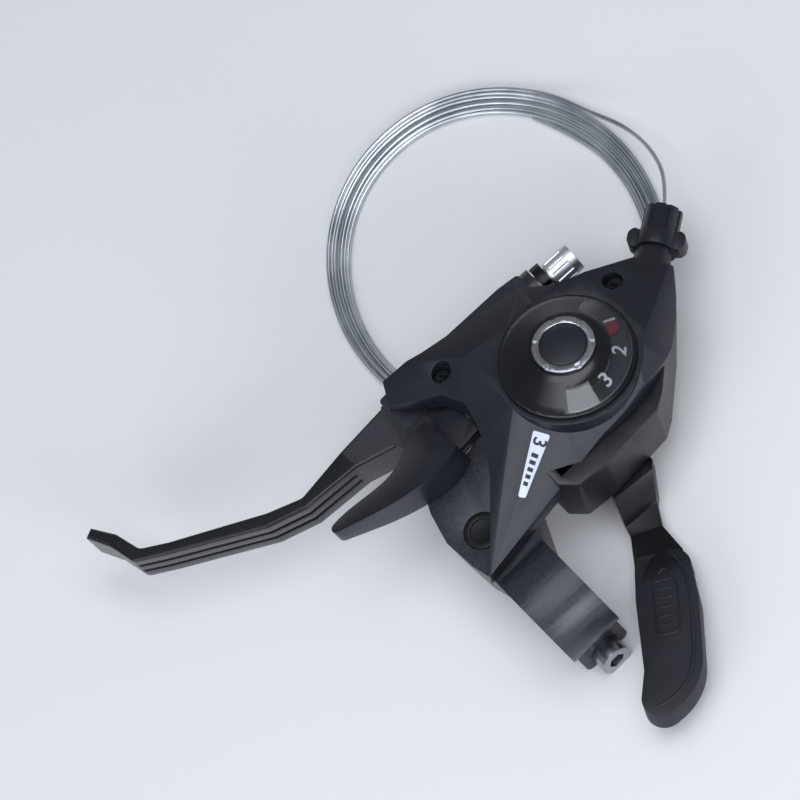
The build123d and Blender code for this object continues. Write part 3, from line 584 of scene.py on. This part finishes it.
PAD_RIM = ((-9.4, -44.6), (-9.4, -50.0), (-14.0, -58.4), (-23.4, -71.4), (-28.2, -75.6), (-35.6, -77.8),
           (-39.6, -76.4))
RIM_R, FRAME_R, GRIP_R = 0.45, 0.28, 0.26
FRAME_TOP, FRAME_BOTTOM, FRAME_HALF = Vector((-15.4, -49.2)), Vector((-24.6, -62.6)), 3.1
BEAD_LIFT = 0.02


def bead(name, points, radius, closed=False, order=3):
    """Raised rounded line moulded on the pad's face, in mm."""
    line = [unit_point(u, v, pad_top(u, v) + BEAD_LIFT) for u, v in points]
    place(name, round_line(name, line, radius * MM, closed, order), "rubber", "thumb_lever")


class SHIFTER_OT_pad_marks(bpy.types.Operator):
    """Mould the rim line, frame, grip bars and push mark on the thumb pad"""
    bl_idname = "shifter.pad_marks"
    bl_label = "Pad Marks"

    def execute(self, context):
        bead("pad_rim", PAD_RIM, RIM_R)
        along = (FRAME_BOTTOM - FRAME_TOP).normalized()
        across = Vector((-along.y, along.x)) * FRAME_HALF
        corners = [FRAME_TOP + across, FRAME_TOP - across, FRAME_BOTTOM - across, FRAME_BOTTOM + across]
        outline = []
        for i, corner in enumerate(corners):
            for neighbour, steps in ((corners[i - 1], (0.35, 0.12)), (corners[(i + 1) % 4], (0.12, 0.35))):
                outline += [corner.lerp(neighbour, t) for t in steps]
        bead("pad_frame", outline, FRAME_R, closed=True)
        grip = across * 0.55
        for i in range(5):
            middle = FRAME_TOP.lerp(FRAME_BOTTOM, 0.16 + 0.17 * i)
            bead(f"pad_grip_{i + 1}", [middle - grip, middle + grip], GRIP_R, order=2)
        peak = FRAME_TOP - along * 3.6
        wing = across * 0.5
        bead("pad_push_mark", [peak + along * 1.6 - wing, peak, peak + along * 1.6 + wing], GRIP_R, order=2)
        return {"FINISHED"}


# ---- springs ----

# Node whose ring the helix fills, axes across, across and along it, and wire in mm.
SPRINGS = (("drum_return_spring", UNIT_AXES, 1.1), ("thumb_return_spring", UNIT_AXES, 0.5),
           ("brake_return_spring", LEVEL_AXES, 0.6), ("trigger_spring", LEVEL_AXES, 0.26))
SPRING_PITCH = 1.25
SPRING_CLEAR = 0.1
SPRING_STEPS = 24


class SHIFTER_OT_springs(bpy.types.Operator):
    """Wind the four return springs"""
    bl_idname = "shifter.springs"
    bl_label = "Springs"

    def execute(self, context):
        for node, axes, wire in SPRINGS:
            spans = []
            for axis in axes:
                along = [v.co.dot(axis) / MM for v in NODES[node].data.vertices]
                spans.append((min(along), max(along)))
            middle = [(low + high) / 2 for low, high in spans]
            radius = (spans[0][1] - spans[0][0]) / 2 - wire / 2 - SPRING_CLEAR
            low, high = spans[2][0] + wire / 2, spans[2][1] - wire / 2
            count = int(max(1.0, (high - low) / (wire * SPRING_PITCH)) * SPRING_STEPS)
            points = []
            for i in range(count + 1):
                a = 2 * math.pi * i / SPRING_STEPS
                at = (middle[0] + radius * math.cos(a), middle[1] + radius * math.sin(a),
                      low + (high - low) * i / count)
                points.append(sum((axis * c * MM for axis, c in zip(axes, at)), Vector()))
            name = node + "_coil"
            coil = place(name, round_line(name, points, wire * MM / 2), "zinc", "bracket")
            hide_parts(node)
        return {"FINISHED"}


# ---- panel and order of making ----

class SHIFTER_PT_panel(bpy.types.Panel):
    """Lists the settings, and the steps in the order they are made"""
    bl_idname = "SHIFTER_PT_panel"
    bl_label = "Thumb Shifter"
    bl_space_type = "VIEW_3D"
    bl_region_type = "UI"
    bl_category = "Shifter"

    def draw(self, context):
        for group in GROUPS:
            for name in GROUPS[group].__annotations__:
                self.layout.prop(getattr(context.scene, group), name)
        for step in STEPS:
            self.layout.operator(step.bl_idname)


GROUPS = {"shifter_stage": StageSettings, "shifter_wire": WireSettings, "shifter_finish": FinishSettings}
STEPS = (SHIFTER_OT_stage, SHIFTER_OT_finishes, SHIFTER_OT_gear_wire, SHIFTER_OT_dial, SHIFTER_OT_label,
         SHIFTER_OT_pad_marks, SHIFTER_OT_springs)
CLASSES = (*GROUPS.values(), *STEPS, SHIFTER_PT_panel)


def register():
    for cls in CLASSES:
        bpy.utils.register_class(cls)
    for name, group in GROUPS.items():
        setattr(bpy.types.Scene, name, bpy.props.PointerProperty(type=group))


def unregister():
    for name in GROUPS:
        delattr(bpy.types.Scene, name)
    for cls in reversed(CLASSES):
        bpy.utils.unregister_class(cls)


def main():
    """Runs every step in order."""
    register()
    for step in STEPS:
        group, name = step.bl_idname.split(".")
        getattr(getattr(bpy.ops, group), name)()


if __name__ == "__main__":
    main()
